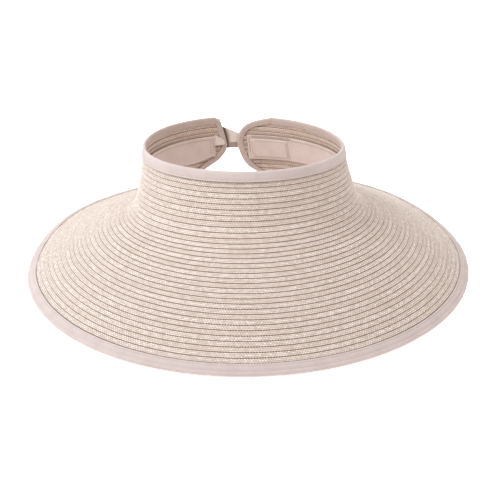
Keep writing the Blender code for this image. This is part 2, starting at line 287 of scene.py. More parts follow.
def even_path(degrees, distances, spacing):
    """The same path in even steps of real length, with the length up to each point."""
    steps = np.linalg.norm(np.diff(middle(degrees, distances), axis=0), axis=1)
    lengths = np.concatenate([[0.0], np.cumsum(steps)])
    count = max(int(round(lengths[-1] / spacing)), 2)
    even = np.linspace(0.0, lengths[-1], count + 1)
    return np.interp(even, lengths, degrees), np.interp(even, lengths, distances), even


def edge_route():
    """Angles and distances along the whole edge, from the left corner round the brim to the right."""
    left_degrees, left_distances = cut_angles(LEFT_BACK_CUT[:-1] + LEFT_CORNER, -1.0)
    right_degrees, right_distances = cut_angles(RIGHT_BACK_CUT, 1.0)
    front_end = 89.0
    front = np.arange(-front_end, front_end + 0.5, 1.0)
    degrees = np.concatenate([left_degrees[::-1], front, right_degrees])
    distances = np.concatenate([left_distances[::-1], np.full_like(front, STRAW_LENGTH), right_distances])
    return degrees, distances


def fade(values, start, finish):
    """Smooth step from 0 at start to 1 at finish."""
    share = np.clip((values - start) / (finish - start), 0.0, 1.0)
    return share * share * (3.0 - 2.0 * share)


def solid(name, outside, inside, material, values=None):
    """Closed mesh between two grids of points, with values at its points for the material.

    The value inner is 0 on the outside grid and 1 on the inside one.
    """
    rings = np.concatenate([outside, inside[:, ::-1]], axis=1)
    stations, corners = rings.shape[:2]
    index = np.arange(stations * corners).reshape(stations, corners)
    following = np.roll(index, -1, axis=1)
    walls = np.stack([index[:-1], index[1:], following[1:], following[:-1]], axis=-1).reshape(-1, 4)
    near = np.arange(corners // 2 - 1)
    ends = []
    for station, order in ((0, 1), (stations - 1, -1)):
        corner = index[station]
        across = [corner[near], corner[near + 1], corner[corners - 2 - near], corner[corners - 1 - near]]
        ends.append(np.stack(across, axis=-1)[:, ::order])
    faces = np.concatenate([walls, *ends])
    points = rings.reshape(-1, 3)
    first, second, third, fourth = (points[faces[:, side]] - points[0] for side in range(4))
    volume = np.sum(np.cross(third - first, fourth - second) * (first + second + third + fourth))
    if volume < 0.0:
        faces = faces[:, ::-1]
    mesh = bpy.data.meshes.new(name)
    mesh.from_pydata(points.tolist(), [], faces.tolist())
    for title, grid in (values or {}).items():
        whole = np.broadcast_to(grid, outside.shape[:2])
        both = np.concatenate([whole, whole[:, ::-1]], axis=1).astype(np.float32)
        mesh.attributes.new(title, "FLOAT", "POINT").data.foreach_set("value", both.ravel())
    facing_in = np.concatenate([np.zeros(outside.shape[:2]), np.ones(outside.shape[:2])], axis=1)
    inner = facing_in.astype(np.float32).ravel()
    mesh.attributes.new("inner", "FLOAT", "POINT").data.foreach_set("value", inner)
    mesh.shade_smooth()
    mesh.materials.append(material)
    made = bpy.data.objects.new(name, mesh)
    bpy.context.collection.objects.link(made)
    return made


def dress(piece, slot, nodes, body="visor"):
    """Put a finished piece on its body and in place of its CAD nodes, which are hidden. slot is not used."""
    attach(piece, body)
    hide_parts(*nodes)
    return piece


def link(tree, source, target):
    """Join a socket, or set a plain value, on an input socket."""
    if isinstance(source, bpy.types.NodeSocket):
        tree.links.new(source, target)
    else:
        target.default_value = source


def calculate(tree, operation, *inputs):
    """Result of a maths node on sockets or plain numbers."""
    made = tree.nodes.new("ShaderNodeMath")
    made.operation = operation
    for source, target in zip(inputs, made.inputs):
        link(tree, source, target)
    return made.outputs[0]


def attribute(tree, name):
    """Value stored at the points of the mesh."""
    made = tree.nodes.new("ShaderNodeAttribute")
    made.attribute_name = name
    return made.outputs["Fac"]


def step_up(tree, value, low, high):
    """Smooth step of a value from 0 at low to 1 at high."""
    made = tree.nodes.new("ShaderNodeMapRange")
    made.interpolation_type = "SMOOTHSTEP"
    link(tree, value, made.inputs["Value"])
    made.inputs["From Min"].default_value = low
    made.inputs["From Max"].default_value = high
    return made.outputs["Result"]


def noise(tree, vector, scale, detail=2.0):
    """Noise value at a vector."""
    made = tree.nodes.new("ShaderNodeTexNoise")
    link(tree, vector, made.inputs["Vector"])
    made.inputs["Scale"].default_value = scale
    made.inputs["Detail"].default_value = detail
    return made.outputs["Fac"]


def place(tree, x, y, z=0.0):
    """Vector from three values."""
    made = tree.nodes.new("ShaderNodeCombineXYZ")
    for source, target in zip((x, y, z), made.inputs):
        link(tree, source, target)
    return made.outputs[0]


def mix(tree, share, first, second):
    """Colour between two colours."""
    made = tree.nodes.new("ShaderNodeMix")
    made.data_type = "RGBA"
    link(tree, share, made.inputs[0])
    link(tree, first if isinstance(first, bpy.types.NodeSocket) else (*first, 1.0), made.inputs[6])
    link(tree, second if isinstance(second, bpy.types.NodeSocket) else (*second, 1.0), made.inputs[7])
    return made.outputs[2]


def bump(tree, shader, height, depth):
    """Fine relief of this depth in metres from a height value."""
    made = tree.nodes.new("ShaderNodeBump")
    made.inputs["Distance"].default_value = depth
    link(tree, height, made.inputs["Height"])
    tree.links.new(made.outputs["Normal"], shader.inputs["Normal"])


def stain(tree, base, where, colour_and_share):
    """Base colour turned towards another one, by its share where a value is 1."""
    colour, share = colour_and_share
    return mix(tree, calculate(tree, "MULTIPLY", where, share), base, colour)


def new_material(name, roughness, specular=0.3, sheen=0.0):
    """Material with a Principled shader, its node tree and the shader."""
    made = bpy.data.materials.new(name)
    made.use_nodes = True
    tree = made.node_tree
    shader = tree.nodes["Principled BSDF"]
    shader.inputs["Roughness"].default_value = roughness
    shader.inputs["Specular IOR Level"].default_value = specular
    shader.inputs["Sheen Weight"].default_value = sheen
    return made, tree, shader


def straw_material():
    """Plaited paper straw: pale strands, with painted shade in the creases between the cells, in the gaps
    between the rows and on the inner face.
    """
    made, tree, shader = new_material("straw_braid", 0.55, 0.45, 0.2)
    along = attribute(tree, "along")
    across = attribute(tree, "across")
    tint = attribute(tree, "tint")
    spread = calculate(tree, "MULTIPLY", calculate(tree, "ADD", across, 1.0), 0.5 * PLAIT_COLUMNS)
    column = calculate(tree, "MINIMUM", calculate(tree, "FLOOR", spread), PLAIT_COLUMNS - 1.0)
    in_column = calculate(tree, "SUBTRACT", calculate(tree, "SUBTRACT", spread, column), 0.5)
    side = calculate(tree, "SUBTRACT", column, 1.0)
    stagger = calculate(tree, "MULTIPLY", calculate(tree, "MODULO", column, 2.0), 0.5)
    slant = calculate(tree, "MULTIPLY", calculate(tree, "MULTIPLY", side, in_column), 2.0 * PLAIT_SLANT)
    phase = calculate(tree, "ADD", calculate(tree, "ADD", along, stagger), slant)
    cell = calculate(tree, "FLOOR", phase)
    in_cell = calculate(tree, "SUBTRACT", calculate(tree, "SUBTRACT", phase, cell), 0.5)
    from_middle = calculate(tree, "MAXIMUM", calculate(tree, "ABSOLUTE", in_column),
                            calculate(tree, "ABSOLUTE", in_cell))
    crease = step_up(tree, from_middle, *STRAW_CREASE_SHADE_EDGE)
    groove = step_up(tree, calculate(tree, "ABSOLUTE", across), *STRAW_ROW_GAP_SHADE_EDGE)
    dots = calculate(tree, "COSINE", calculate(tree, "MULTIPLY", along, math.tau))
    dot_depth = 0.22
    dotted = calculate(tree, "MULTIPLY_ADD", dots, dot_depth, 1.0 - dot_depth)
    each_cell = tree.nodes.new("ShaderNodeTexWhiteNoise")
    each_cell.noise_dimensions = "3D"
    seeds = 97.0
    row_seed = calculate(tree, "MULTIPLY", tint, seeds)
    tree.links.new(place(tree, cell, column, row_seed), each_cell.inputs["Vector"])
    fibre_along = calculate(tree, "MULTIPLY", along, 1.6)
    fibre_across = calculate(tree, "MULTIPLY", across, 9.0)
    fibre = noise(tree, place(tree, fibre_along, fibre_across, tint), 1.0, 3.0)
    pale = mix(tree, each_cell.outputs["Value"], STRAW_DULL, STRAW_BRIGHT)
    toned = stain(tree, pale, tint, STRAW_ROW_TONE)
    streaked = stain(tree, toned, fibre, STRAW_STREAK)
    # Painted shade: the straw darkens towards the creases between the cells, where shade falls.
    crease_shaded = stain(tree, streaked, crease, STRAW_CREASE_SHADE)
    # Painted shade: a dotted dark brown line in the gaps between the rows, at each row's scalloped edges;
    # the value sewn carries this painted shade.
    sewn = stain(tree, crease_shaded, calculate(tree, "MULTIPLY", groove, dotted), STRAW_ROW_GAP_SHADE)
    # Painted shade: the straw's inner face is browner, standing in for the shade inside the crown.
    link(tree, stain(tree, sewn, attribute(tree, "inner"), STRAW_INSIDE_SHADE), shader.inputs["Base Color"])
    rise = calculate(tree, "MULTIPLY_ADD", crease, -1.0, calculate(tree, "MULTIPLY", fibre, 0.6))
    bump(tree, shader, rise, STRAW_RELIEF)
    return made


def fabric_material(name, colour, shadow, weave, depth, sheen=0.15, rib=0.0, under=0.0):
    """Woven fabric of a sheet: fine threads both ways, with slubs and a little uneven colour.

    colour and shadow are the light and dark threads, weave the threads to a metre, rib how much closer
    the weft lies than the warp, and under the share of painted shade, a brown tint, on a tape's leg inside
    the visor.
    """
    made, tree, shader = new_material(name, 0.78, 0.2, sheen)
    along = attribute(tree, "along")
    across = attribute(tree, "across")
    warp = calculate(tree, "SINE", calculate(tree, "MULTIPLY", along, weave * math.tau))
    weft = calculate(tree, "SINE", calculate(tree, "MULTIPLY", across, weave * math.tau * (1.0 + rib)))
    threads = calculate(tree, "MULTIPLY", warp, weft)
    slubs = noise(tree, place(tree, calculate(tree, "MULTIPLY", along, 0.25 * weave),
                              calculate(tree, "MULTIPLY", across, weave)), 1.0, 3.0)
    cloud = noise(tree, place(tree, along, across), 60.0, 3.0)
    thread_dark = calculate(tree, "MULTIPLY_ADD", threads, 0.18, 0.10)
    dark = calculate(tree, "ADD", thread_dark, calculate(tree, "MULTIPLY", slubs, 0.35))
    cloud_share = 0.22
    uneven = calculate(tree, "MULTIPLY_ADD", step_up(tree, cloud, 0.35, 0.7), cloud_share, dark)
    cloth = mix(tree, uneven, colour, shadow)
    # Painted shade: the tape's leg inside the visor is tinted brown, standing in for the shade inside the
    # crown.
    inner_leg_shade = ((0.34, 0.21, 0.14), under)
    link(tree, stain(tree, cloth, attribute(tree, "under"), inner_leg_shade), shader.inputs["Base Color"])
    rise = calculate(tree, "MULTIPLY_ADD", threads, 0.5, slubs)
    bump(tree, shader, rise, depth)
    return made


def strap_material():
    """The strap's fabric, with painted shade on its inner face: browner below the crease, where the lower
    half faces down, and a painted shadow, nearly black, by the left end.

    The value folded is 1 where the painted shade below the crease is full, and more than 1 where the painted
    shadow is deep.
    """
    made = fabric_material("strap_fabric", (0.76, 0.645, 0.59), (0.54, 0.43, 0.375), 1300.0, 0.00012)
    tree = made.node_tree
    shader = tree.nodes["Principled BSDF"]
    plain = shader.inputs["Base Color"].links[0].from_socket
    # Painted shade on the strap's inner face: browner below the crease, nearly black by the left end and in
    # the pleat.
    folded = calculate(tree, "MULTIPLY", attribute(tree, "folded"), attribute(tree, "inner"))
    below_crease_shaded = mix(tree, folded, plain, (0.40, 0.30, 0.26))
    # Painted shadow: where folded passes 1 the colour goes nearly black, by the left end and in the pleat.
    shade = calculate(tree, "SUBTRACT", folded, 1.0)
    link(tree, mix(tree, shade, below_crease_shaded, (0.09, 0.05, 0.03)), shader.inputs["Base Color"])
    return made


def thread_material(name, colour, shadow):
    """Sewing thread with a fine twist."""
    made, tree, shader = new_material(name, 0.55, 0.35)
    turns_to_a_stitch = 9.0
    turned = calculate(tree, "MULTIPLY", attribute(tree, "along"), turns_to_a_stitch * math.tau)
    twist = calculate(tree, "SINE", turned)
    link(tree, mix(tree, calculate(tree, "MULTIPLY_ADD", twist, 0.25, 0.25), colour, shadow),
         shader.inputs["Base Color"])
    return made


def nylon_material(name, colour, shadow, scale, depth):
    """Nylon pile of a fastening tape."""
    made, tree, shader = new_material(name, 0.7, 0.35, 0.3)
    place_on = tree.nodes.new("ShaderNodeTexCoord").outputs["Object"]
    pile = noise(tree, place_on, scale, 4.0)
    link(tree, mix(tree, pile, colour, shadow), shader.inputs["Base Color"])
    bump(tree, shader, pile, depth)
    return made


def wire_material():
    """Drawn shaping wire with faint scratches."""
    made, tree, shader = new_material("wire", 0.35, 0.5)
    shader.inputs["Metallic"].default_value = 1.0
    scratches = noise(tree, tree.nodes.new("ShaderNodeTexCoord").outputs["Object"], 900.0, 3.0)
    link(tree, mix(tree, scratches, (0.75, 0.74, 0.72), (0.5, 0.49, 0.47)), shader.inputs["Base Color"])
    return made


def plait(along, across):
    """Height of the plait from 0 in the creases to 1 on a cell. along counts plait periods."""
    spread = (across + 1.0) * 0.5 * PLAIT_COLUMNS
    column = np.minimum(np.floor(spread), PLAIT_COLUMNS - 1)
    in_column = spread - column - 0.5
    phase = along + 0.5 * (column % 2) + 2.0 * PLAIT_SLANT * (column - 1) * in_column
    in_cell = phase - np.floor(phase) - 0.5
    return (1.0 - (2.0 * in_column) ** 2) * np.cos(math.pi * in_cell)


def braid_row(name, node, top, number, material):
    """One plaited row from the left back cut to the right one, its ends under the edge binding."""
    centre = top + 0.5 * ROW_PITCH
    left = row_end(LEFT_BACK_CUT, -1.0, centre, ROW_END_MARGIN)
    right = row_end(RIGHT_BACK_CUT, 1.0, centre, ROW_END_MARGIN)
    fine = np.linspace(left, right, PATH_STEPS)
    degrees, _, length = even_path(fine, np.full_like(fine, centre), PLAIT_STEP)
    along = (length / PLAIT_PERIOD + GOLDEN * number)[:, None]
    across = PLAIT_ACROSS[None, :]
    cell = plait(along, across)
    lap = ROW_LAP + ROW_SCALLOP * np.cos(math.tau * along)
    distance = centre + across * (0.5 * ROW_PITCH + lap * across ** 8)
    body = ROW_BODY * (1.0 - ROW_THINNING * across ** 4)
    lean = ROW_LEAN * across
    outside = raised(degrees[:, None], distance, body + ROW_CELL * cell + lean)
    inside = raised(degrees[:, None], distance, lean - body - ROW_CELL * cell)
    tint = (GOLDEN * 7.0 * (number + 1)) % 1.0
    made = solid(name, outside, inside, material, {"along": along, "across": across, "tint": np.array(tint)})
    dress(made, "straw_braid", [node])


def braid():
    """All the rows: one under the rim binding, ten in the crown, the brim's, and one under the edge."""
    material = straw_material()
    braid_row("straw_row_rim", "rim_braid_row", FIRST_ROW - ROW_PITCH, 0, material)
    for index in range(VISIBLE_ROWS):
        if index < CROWN_ROWS:
            title = f"crown_braid_row_{index + 1:02d}"
        else:
            title = f"brim_braid_row_{index - CROWN_ROWS + 1:02d}"
        braid_row(f"straw_{title}", title, FIRST_ROW + index * ROW_PITCH, index + 1, material)
    braid_row("straw_row_edge", "edge_braid_row", LAST_ROW, VISIBLE_ROWS + 1, material)


def tape_section(outline):
    """Outside and inside lines of a folded tape, in metres, as widths and heights."""
    outside = smooth_path(outline, 2)
    run = np.gradient(outside, axis=0)
    inwards = unit(np.stack([-run[:, 1], run[:, 0]], axis=-1))
    inside = outside - inwards * TAPE_THICKNESS
    return outside * MM, inside * MM


def pucker(along, width, line):
    """How far a tape dips at each stitch of a stitch line this far from its bound edge."""
    reach = 0.0011
    depth = 0.00016
    near = np.exp(-((width - line) / reach) ** 2)
    return depth * near * (0.5 + 0.5 * np.cos(math.tau * along / STITCH_PITCH))


def ripple(along):
    """Slow unevenness of a sewn tape along its length."""
    return 0.00007 * np.sin(along * 310.0) + 0.00005 * np.sin(along * 790.0 + 1.3)


def folded_tape(name, nodes, along, locate, outline, line, material):
    """Tape folded over an edge. locate gives the points at widths and heights from that edge."""
    outside, inside = tape_section(outline)
    grids = []
    for section in (outside, inside):
        width = section[None, :, 0]
        height = section[None, :, 1]
        dip = pucker(along[:, None], width, line) - ripple(along[:, None])
        grids.append(locate(width, height - np.sign(height) * dip))
    across = np.cumsum(np.linalg.norm(np.diff(outside, axis=0, prepend=outside[:1]), axis=1))
    # under marks the tape's leg inside the visor, which the material tints with painted shade.
    under = fade(-outside[:, 1], 0.0, 0.001)
    made = solid(name, grids[0], grids[1], material,
                 {"along": along[:, None], "across": across[None, :], "under": under[None, :]})
    return dress(made, "binding_tape", nodes)


def edge_frame(degrees, distances):
    """Points of the edge with the direction into the straw and the outward normal at each."""
    points = middle(degrees, distances)
    normals = outward(degrees, distances)
    inwards = unit(np.cross(normals, np.gradient(points, axis=0)))
    reach = 7
    padded = np.concatenate([np.repeat(inwards[:1], reach, axis=0), inwards,
                             np.repeat(inwards[-1:], reach, axis=0)])
    smoothed = sum(padded[shift:shift + len(inwards)] for shift in range(2 * reach + 1))
    return points, unit(smoothed), normals


def edge_binding(material, thread):
    """Tape folded round the brim's edge and both back ends, with its stitches on both faces."""
    degrees, distances, along = even_path(*edge_route(), TAPE_STEP)
    points, inwards, normals = edge_frame(degrees, distances)

    def locate(width, height):
        return (points[:, None] + inwards[:, None] * width[..., None] * np.ones((len(along), 1, 1))
                + normals[:, None] * np.broadcast_to(height, (len(along), width.shape[1]))[..., None])

    made = folded_tape("binding_of_edge", ["edge_binding"], along, locate, EDGE_TAPE, EDGE_STITCH_LINE,
                       material)
    for title, line, height in (("edge_stitches", EDGE_STITCH_LINE, EDGE_STITCH_HEIGHT),
                                ("edge_stitches_under", EDGE_INNER_STITCH_LINE, -EDGE_STITCH_HEIGHT)):
        course = locate(np.array([[line]]), np.array([[height]]))[:, 0]
        running_stitches(title, course, np.sign(height) * normals, along, thread)


def rim_binding(material, thread):
    """Tape folded over the top row, from the left corner to where the right end starts to round."""
    below_rim = 0.004
    left_margin = 0.0060
    left = row_end(LEFT_BACK_CUT, -1.0, below_rim, left_margin)
    right = BACK - RIGHT_BACK_CUT[-1][0] + 1.0
    fine = np.linspace(left, right, PATH_STEPS)
    degrees, distances, along = even_path(fine, np.zeros_like(fine), TAPE_STEP)

    def locate(width, height):
        return raised(degrees[:, None], np.broadcast_to(width, (len(along), width.shape[1])), height)

    made = folded_tape("binding_of_rim", ["rim_binding"], along, locate, RIM_TAPE, RIM_STITCH_LINE, material)
    normals = outward(degrees, distances)
    for title, line, height in (("rim_stitches", RIM_STITCH_LINE, RIM_STITCH_HEIGHT),
                                ("rim_stitches_inside", RIM_INNER_STITCH_LINE, -RIM_INNER_STITCH_HEIGHT)):
        course = locate(np.array([[line]]), np.array([[height]]))[:, 0]
        running_stitches(title, course, np.sign(height) * normals, along, thread)


def stitches(name, starts, finishes, lifts, material, body="visor", slot="binding_tape"):
    """Threads from starts to finishes that bow out along lifts."""
    share = np.linspace(0.0, 1.0, THREAD_STATIONS)
    bow = THREAD_BOW * THREAD_RADIUS * np.sin(math.pi * share) - THREAD_SINK * THREAD_RADIUS
    centre = (starts[:, None] + (finishes - starts)[:, None] * share[None, :, None]
              + lifts[:, None] * bow[None, :, None])
    run = unit(finishes - starts)
    level = unit(np.cross(run, lifts))
    upright = unit(np.cross(level, run))
    swell = np.sin(math.pi * np.clip(share, THREAD_END, 1.0 - THREAD_END))
    radius = THREAD_RADIUS * swell ** THREAD_TAPER
    turn = math.tau * np.arange(THREAD_SIDES) / THREAD_SIDES
    rim = (level[:, None, None] * np.cos(turn)[None, None, :, None]
           + upright[:, None, None] * np.sin(turn)[None, None, :, None])
    points = centre[:, :, None] + rim * radius[None, :, None, None]
    count = len(starts)
    index = np.arange(count * THREAD_STATIONS * THREAD_SIDES).reshape(count, THREAD_STATIONS, THREAD_SIDES)
    following = np.roll(index, -1, axis=2)
    walls = np.stack([index[:, :-1], following[:, :-1], following[:, 1:], index[:, 1:]], axis=-1)
    faces = walls.reshape(-1, 4).tolist()
    faces += index[:, 0, ::-1].tolist()
    faces += index[:, -1].tolist()
    mesh = bpy.data.meshes.new(name)
    mesh.from_pydata(points.reshape(-1, 3).tolist(), [], faces)
    twist = np.broadcast_to(share[None, :, None] + np.arange(count)[:, None, None], points.shape[:3])
    values = twist.astype(np.float32).ravel()
    mesh.attributes.new("along", "FLOAT", "POINT").data.foreach_set("value", values)
    mesh.shade_smooth()
    mesh.materials.append(material)
    made = bpy.data.objects.new(name, mesh)
    bpy.context.collection.objects.link(made)
    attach(made, body)
    return made


def running_stitches(name, course, lifts, along, material, pitch=STITCH_PITCH, **placing):
    """Even stitches along a line of points."""
    first = 0.4 * pitch
    begin = np.arange(first, along[-1] - STITCH_LENGTH, pitch)
    starts = np.stack([np.interp(begin, along, course[:, axis]) for axis in range(3)], axis=-1)
    stop = begin + STITCH_LENGTH * pitch / STITCH_PITCH
    finishes = np.stack([np.interp(stop, along, course[:, axis]) for axis in range(3)], axis=-1)
    bows = unit(np.stack([np.interp(begin, along, lifts[:, axis]) for axis in range(3)], axis=-1))
    return stitches(name, starts, finishes, bows, material, **placing)


def line_stitches(name, degrees, distances, height, inside, material, pitch=STITCH_PITCH, **placing):
    """Even stitches along a line of angles and distances, on the inner or outer face of a sheet."""
    spacing = 0.0005
    degrees, distances, along = even_path(degrees, distances, spacing)
    course = raised(degrees, distances, np.full_like(along, height))
    lifts = outward(degrees, distances) * (-1.0 if inside else 1.0)
    return running_stitches(name, course, lifts, along, material, pitch, **placing)


def sheet_piece(name, upper, lower, height, thickness, material, columns, values=None):
    """Sheet between two lines of angles and distances. height and thickness fit the grid of points."""
    share = np.linspace(0.0, 1.0, columns)[None, :]
    degrees = upper[0][:, None] * (1.0 - share) + lower[0][:, None] * share
    distances = upper[1][:, None] * (1.0 - share) + lower[1][:, None] * share
    centre = middle(degrees, distances)
    spine = centre[:, columns // 2]
    along = np.cumsum(np.linalg.norm(np.diff(spine, axis=0, prepend=spine[:1]), axis=1))
    across = distances - distances[:, :1]
    outside = raised(degrees, distances, height + 0.5 * thickness)
    inside = raised(degrees, distances, height - 0.5 * thickness)
    made = solid(name, outside, inside, material,
                 {"along": along[:, None], "across": across, **(values or {})})
    return made, degrees, distances


def flat_size(degrees, distances):
    """Width and length of a sheet piece laid flat, from its grid of angles and distances."""
    points = middle(degrees, distances)
    length = np.linalg.norm(np.diff(points, axis=0), axis=2).sum(axis=0).mean()
    width = np.linalg.norm(np.diff(points, axis=1), axis=2).sum(axis=1).max()
    return float(width), float(length)


def cut_area(degrees, distances):
    """Flat area of a sheet piece, from its grid of angles and distances."""
    points = middle(degrees, distances)
    diagonals = np.cross(points[1:, 1:] - points[:-1, :-1], points[:-1, 1:] - points[1:, :-1])
    return float(np.linalg.norm(diagonals, axis=2).sum() / 2.0)


def hems(share, centre):
    """1 along both hemmed edges of a sheet, whose middles lie this share in from each edge."""
    return (np.exp(-((share - centre) / centre) ** 4)
            + np.exp(-((share - (1.0 - centre)) / centre) ** 4))


def band_surface(share, station):
    """Height and thickness of the sweatband. Both shares run from 0 to 1, across and along the band."""
    end_width = 0.006
    end_hem = np.exp(-(station / end_width) ** 4) + np.exp(-((1.0 - station) / end_width) ** 4)
    sway = np.sin(station * 47.0 + 2.0 * share) * np.sin(station * 211.0 + 5.0 * share)
    wrinkle = 0.00012 * sway * np.sin(math.pi * share)
    seam_dip = 0.00018 * np.exp(-((share - 0.105) / 0.025) ** 2)
    height = 0.5 * (BAND_INNER + BAND_OUTER) + wrinkle + seam_dip
    hem_thickness = 0.0002
    thickness = BAND_OUTER - BAND_INNER + hem_thickness * np.minimum(hems(share, 0.045) + end_hem, 1.0)
    return height, thickness


def sweatband(material, thread):
    """Soft band inside the crown with hemmed edges, gentle wrinkles and its stitches."""
    steps = 420
    columns = 25
    left_end = BAND_LEFT_END - 2.0 * BACK
    degrees = np.linspace(left_end, BAND_RIGHT_END, steps)
    rise = BAND_LEFT_RISE * (1.0 - fade(degrees, left_end, left_end + BAND_RISE_ANGLE))
    upper = (degrees, np.full(steps, BAND_TOP))
    lower = (degrees, BAND_BOTTOM - rise)
    height, thickness = band_surface(np.linspace(0.0, 1.0, columns)[None, :],
                                     np.linspace(0.0, 1.0, steps)[:, None])
    made, degrees, distances = sheet_piece("sweatband_inside", upper, lower, height, thickness, material,
                                           columns)
    dress(made, "sweatband_fabric", ["sweatband"])
    flat_size(degrees, distances)
    seam_inset = 0.0028
    seam = np.linspace(left_end + 1.0, BAND_SEWN_TO, 400)
    line_stitches("band_top_stitches", seam, np.full_like(seam, BAND_TOP + seam_inset), BAND_INNER + 0.0001,
                  True, thread, BAND_PITCH, slot="sweatband_fabric")
    top_inset = 0.0020
    bottom_inset = 0.0055
    down = np.linspace(BAND_TOP + top_inset, BAND_BOTTOM - bottom_inset, 60)
    for title, place_at in (("band_end_stitches", left_end + 1.2),
                            ("band_end_stitches_second", left_end + 3.0),
                            ("band_right_stitches", BAND_RIGHT_END - 1.2)):
        line_stitches(title, np.full_like(down, place_at), down, BAND_INNER - 0.0001, True, thread,
                      BAND_END_PITCH, slot="sweatband_fabric")
    whip_stitches(thread)


def whip_stitches(thread):
    """Slanting stitches over the top of the sweatband, above the patch."""
    pitch = 1.5
    slant = 1.2
    height = BAND_INNER - 0.0002
    degrees = np.arange(BAND_SEWN_TO, WHIP_END, pitch)
    over_edge = 0.0003
    reach = 0.0030
    heads = raised(degrees, np.full_like(degrees, BAND_TOP - over_edge), height)
    feet = raised(degrees + slant, np.full_like(degrees, BAND_TOP + reach), height)
    lifts = -outward(degrees, np.full_like(degrees, BAND_TOP))
    stitches("band_whip_stitches", heads, feet, lifts, thread, slot="sweatband_fabric")


def size_patch(material, thread):
    """Plain patch on the sweatband at the right of the back, sewn round its border."""
    steps = 60
    columns = 19
    start = PATCH["start"]
    end = PATCH["end"]
    top = PATCH["top"]
    bottom = PATCH["bottom"]
    degrees = np.linspace(start, end, steps)
    share = np.linspace(0.0, 1.0, columns)[None, :]
    station = np.linspace(0.0, 1.0, steps)[:, None]
    from_edge = np.minimum(share, 1.0 - share) * 9.0
    from_end = np.minimum(station, 1.0 - station) * 18.0
    border = 1.0 - np.minimum(from_edge, from_end)
    press_depth = 0.00050
    press = press_depth * fade(border, 0.0, 1.0)
    gentle = 0.00010 * np.sin(station * 17.0 + 3.0 * share) * np.sin(math.pi * share)
    height = 0.5 * (PATCH_INNER + PATCH_OUTER) + press + gentle
    made, grid, drops = sheet_piece("patch_on_band", (degrees, np.full(steps, top)),
                                    (degrees, np.full(steps, bottom)), height,
                                    PATCH_OUTER - PATCH_INNER, material, columns)
    dress(made, "sweatband_fabric", ["band_patch"])
    flat_size(grid, drops)
    inset = 0.0016
    turn = 1.0
    near = start + turn
    far = end - turn
    high = top + inset
    low = bottom - inset
    sides = [(near, far, high, high), (near, far, low, low), (near, near, high, low), (far, far, high, low)]
    points = 80
    for number, (first, last, begin, finish) in enumerate(sides):
        line_stitches(f"patch_stitches_{number + 1}", np.linspace(first, last, points),
                      np.linspace(begin, finish, points), PATCH_INNER + 0.0001, True, thread, PATCH_PITCH,
                      slot="sweatband_fabric")


def strap_outline(station):
    """Distances of the strap's upper and lower edges: wide at the root and rounded at the tip."""
    widening = np.clip((station - STRAP_NARROW) / (STRAP_WIDE - STRAP_NARROW), 0.0, 1.0)
    top = STRAP_BOTTOM - STRAP_WIDTH - (STRAP_ROOT_WIDTH - STRAP_WIDTH) * widening
    rounding = 4.0
    to_tip = np.clip((station - STRAP_TIP) / rounding, 0.0, 1.0)
    most = 0.45 * STRAP_WIDTH
    inset = most * (1.0 - np.sqrt(np.maximum(1.0 - (1.0 - to_tip) ** 2, 0.0)))
    return top + inset, np.full(len(station), STRAP_BOTTOM) - inset


def strap_surface(angle, share, fold_at):
    """Height, thickness and painted-shade values of the strap: gathers, the crease in the gap and its hems.

    share runs from 0 at the upper edge to 1 at the lower one, and fold_at is the share of the crease.
    """
    lift = STRAP_LOW + (STRAP_HIGH - STRAP_LOW) * fade(-angle, -191.0, -186.5)
    in_gap = fade(-angle, -186.0, -183.0) * (1.0 - fade(-angle, -177.0, -174.5))
    tent = np.where(share < fold_at, share / fold_at, (1.0 - share) / (1.0 - fold_at))
    crease_depth = 0.0017
    crease = -crease_depth * in_gap * tent
    root = fade(angle, 181.0, 187.0) * (1.0 - fade(angle, 196.0, 201.0))
    gather_depth = 0.00035
    gathers = gather_depth * root * np.sin(share * 38.0) * np.sin(math.pi * share)
    # The valley by the left end: a small rise, and a painted shadow through folded below.
    valley_at = 183.9 - 3.6 * share + 1.6 * share ** 2
    valley_width = 1.25
    valley = np.exp(-((angle - valley_at) / valley_width) ** 2)
    # A pleat at the root drawn only as a line of painted shade: it has no relief of its own.
    pleat_at = 181.8 - 1.8 * share
    pleat_part = fade(share, 0.05, 0.2) * (1.0 - fade(share, 0.35, 0.5))
    pleat_width = 0.28
    pleat_shade = pleat_part * np.exp(-((angle - pleat_at) / pleat_width) ** 2)
    valley_rise = 0.0006
    height = lift + crease + gathers + valley_rise * valley
    hem_thickness = 0.0002
    thickness = STRAP_THICKNESS + hem_thickness * hems(share, 0.05)
    # Painted shade: the lower half below the crease, which faces down, is darker; then the painted shadow by
    # the left end and the painted shade of the pleat.
    lower_half_shade = in_gap * fade(share, fold_at, fold_at + 0.05)
    folded = np.maximum(np.maximum(lower_half_shade, 2.0 * valley), 1.4 * pleat_shade)
    return height, thickness, folded


